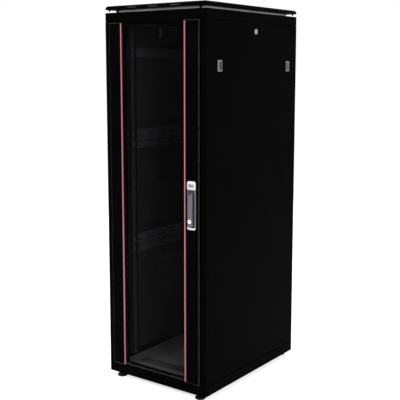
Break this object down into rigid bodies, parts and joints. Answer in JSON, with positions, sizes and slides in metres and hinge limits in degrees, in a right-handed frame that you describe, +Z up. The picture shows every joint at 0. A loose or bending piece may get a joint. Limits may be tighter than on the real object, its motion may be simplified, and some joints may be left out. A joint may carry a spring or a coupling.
{
  "type": "network server rack cabinet",
  "caption": "Free-standing black steel 19-inch network cabinet with a smoked-glass front door, swing handle, removable side panels, vented rear door, raised roof lid and levelling feet.",
  "frame": {"origin": "on the floor under the middle of the cabinet, at the bottom centre of its box", "axes": "+Z up, the glass front door faces -Y, +X is the handle side of the front door"},
  "size_m": [0.604, 0.8636, 1.85],
  "materials": {
    "black_steel": "satin black powder coat",
    "zinc_steel": "bluish zinc plate",
    "smoked_glass": "polished, grey tinted",
    "red_trim": "glossy dusty red",
    "handle_grey": "satin grey",
    "housing_grey": "fine matt grey",
    "white_plate": "plain off-white",
    "bright_metal": "bright nickel",
    "latch_grey": "matt light grey",
    "black_plastic": "matt black"
  },
  "bodies": {
    "cabinet": {"base_frame": "black_steel", "top_frame": "black_steel", "post_front_left": "black_steel", "post_front_right": "black_steel", "post_rear_left": "black_steel", "post_rear_right": "black_steel", "floor_plate": "zinc_steel", "roof_deck": "black_steel", "lid_spacer_front_left": "black_plastic", "lid_spacer_front_right": "black_plastic", "lid_spacer_rear_left": "black_plastic", "lid_spacer_rear_right": "black_plastic", "roof_lid": "black_steel", "rail_front_left": "zinc_steel", "rail_front_right": "zinc_steel", "rail_rear_left": "zinc_steel", "rail_rear_right": "zinc_steel", "brace_left_lower": "zinc_steel", "brace_left_middle": "zinc_steel", "brace_left_upper": "zinc_steel", "brace_right_lower": "zinc_steel", "brace_right_middle": "zinc_steel", "brace_right_upper": "zinc_steel", "front_hinge_upper": "black_steel", "front_hinge_lower": "black_steel", "rear_hinge_upper": "black_steel", "rear_hinge_lower": "black_steel"},
    "front_door": {"front_door_frame": "black_steel", "front_door_glass": "smoked_glass", "front_door_strip_left": "red_trim", "front_door_strip_right": "red_trim", "front_handle_housing": "housing_grey", "front_handle_plate": "white_plate"},
    "rear_door": {"rear_door_panel": "black_steel", "rear_handle_housing": "housing_grey", "rear_handle_plate": "white_plate"},
    "front_handle": {"front_handle_spindle": "bright_metal", "front_lock_cam": "zinc_steel"},
    "front_lever": {"front_handle_lever": "handle_grey"},
    "front_key": {"front_key_barrel": "bright_metal"},
    "rear_handle": {"rear_handle_spindle": "bright_metal", "rear_lock_cam": "zinc_steel"},
    "rear_lever": {"rear_handle_lever": "handle_grey"},
    "rear_key": {"rear_key_barrel": "bright_metal"},
    "right_side_panel": {"right_panel": "black_steel", "right_latch_front_bezel": "latch_grey", "right_latch_rear_bezel": "latch_grey"},
    "right_latch_front": {"right_latch_front_slider": "latch_grey"},
    "right_latch_rear": {"right_latch_rear_slider": "latch_grey"},
    "right_lock": {"right_panel_lock": "bright_metal"},
    "left_side_panel": {"left_panel": "black_steel", "left_latch_front_bezel": "latch_grey", "left_latch_rear_bezel": "latch_grey"},
    "left_latch_front": {"left_latch_front_slider": "latch_grey"},
    "left_latch_rear": {"left_latch_rear_slider": "latch_grey"},
    "left_lock": {"left_panel_lock": "bright_metal"},
    "foot_front_left": {"foot_front_left": "black_plastic"},
    "foot_front_right": {"foot_front_right": "black_plastic"},
    "foot_rear_left": {"foot_rear_left": "black_plastic"},
    "foot_rear_right": {"foot_rear_right": "black_plastic"}
  },
  "joints": [
    {"name": "front_door_swing", "type": "hinge", "parent": "cabinet", "child": "front_door", "pos_m": [-0.258, -0.402, 0.923], "axis": [0, 0, -1], "range_deg": [0, 130]},
    {"name": "front_handle_turn", "type": "hinge", "parent": "front_door", "child": "front_handle", "pos_m": [0.229, -0.409, 0.98], "axis": [0, 1, 0], "range_deg": [0, 90]},
    {"name": "front_lever_lift", "type": "hinge", "parent": "front_handle", "child": "front_lever", "pos_m": [0.229, -0.4243, 0.98], "axis": [-1, 0, 0], "range_deg": [0, 40]},
    {"name": "front_key_turn", "type": "hinge", "parent": "front_lever", "child": "front_key", "pos_m": [0.229, -0.4243, 0.861], "axis": [0, 1, 0], "range_deg": [0, 90]},
    {"name": "rear_door_swing", "type": "hinge", "parent": "cabinet", "child": "rear_door", "pos_m": [0.258, 0.402, 0.923], "axis": [0, 0, -1], "range_deg": [0, 130]},
    {"name": "rear_handle_turn", "type": "hinge", "parent": "rear_door", "child": "rear_handle", "pos_m": [-0.229, 0.409, 0.98], "axis": [0, -1, 0], "range_deg": [0, 90]},
    {"name": "rear_lever_lift", "type": "hinge", "parent": "rear_handle", "child": "rear_lever", "pos_m": [-0.229, 0.4243, 0.98], "axis": [1, 0, 0], "range_deg": [0, 40]},
    {"name": "rear_key_turn", "type": "hinge", "parent": "rear_lever", "child": "rear_key", "pos_m": [-0.229, 0.4243, 0.861], "axis": [0, -1, 0], "range_deg": [0, 90]},
    {"name": "right_panel_pull", "type": "slide", "parent": "cabinet", "child": "right_side_panel", "axis": [1, 0, 0], "range_m": [0, 0.3]},
    {"name": "right_latch_front_slide", "type": "slide", "parent": "right_side_panel", "child": "right_latch_front", "axis": [0, 1, 0], "range_m": [0, 0.008], "stiffness_N_per_m": 300, "springref_m": -0.004},
    {"name": "right_latch_rear_slide", "type": "slide", "parent": "right_side_panel", "child": "right_latch_rear", "axis": [0, -1, 0], "range_m": [0, 0.008], "stiffness_N_per_m": 300, "springref_m": -0.004},
    {"name": "right_lock_turn", "type": "hinge", "parent": "right_side_panel", "child": "right_lock", "pos_m": [0.295, 0.008, 1.728], "axis": [1, 0, 0], "range_deg": [0, 90]},
    {"name": "left_panel_pull", "type": "slide", "parent": "cabinet", "child": "left_side_panel", "axis": [-1, 0, 0], "range_m": [0, 0.3]},
    {"name": "left_latch_front_slide", "type": "slide", "parent": "left_side_panel", "child": "left_latch_front", "axis": [0, 1, 0], "range_m": [0, 0.008], "stiffness_N_per_m": 300, "springref_m": -0.004},
    {"name": "left_latch_rear_slide", "type": "slide", "parent": "left_side_panel", "child": "left_latch_rear", "axis": [0, -1, 0], "range_m": [0, 0.008], "stiffness_N_per_m": 300, "springref_m": -0.004},
    {"name": "left_lock_turn", "type": "hinge", "parent": "left_side_panel", "child": "left_lock", "pos_m": [-0.295, 0.008, 1.728], "axis": [1, 0, 0], "range_deg": [0, 90]},
    {"name": "foot_front_left_screw", "type": "slide", "parent": "cabinet", "child": "foot_front_left", "axis": [0, 0, 1], "range_m": [-0.02, 0]},
    {"name": "foot_front_right_screw", "type": "slide", "parent": "cabinet", "child": "foot_front_right", "axis": [0, 0, 1], "range_m": [-0.02, 0]},
    {"name": "foot_rear_left_screw", "type": "slide", "parent": "cabinet", "child": "foot_rear_left", "axis": [0, 0, 1], "range_m": [-0.02, 0]},
    {"name": "foot_rear_right_screw", "type": "slide", "parent": "cabinet", "child": "foot_rear_right", "axis": [0, 0, 1], "range_m": [-0.02, 0]}
  ]
}
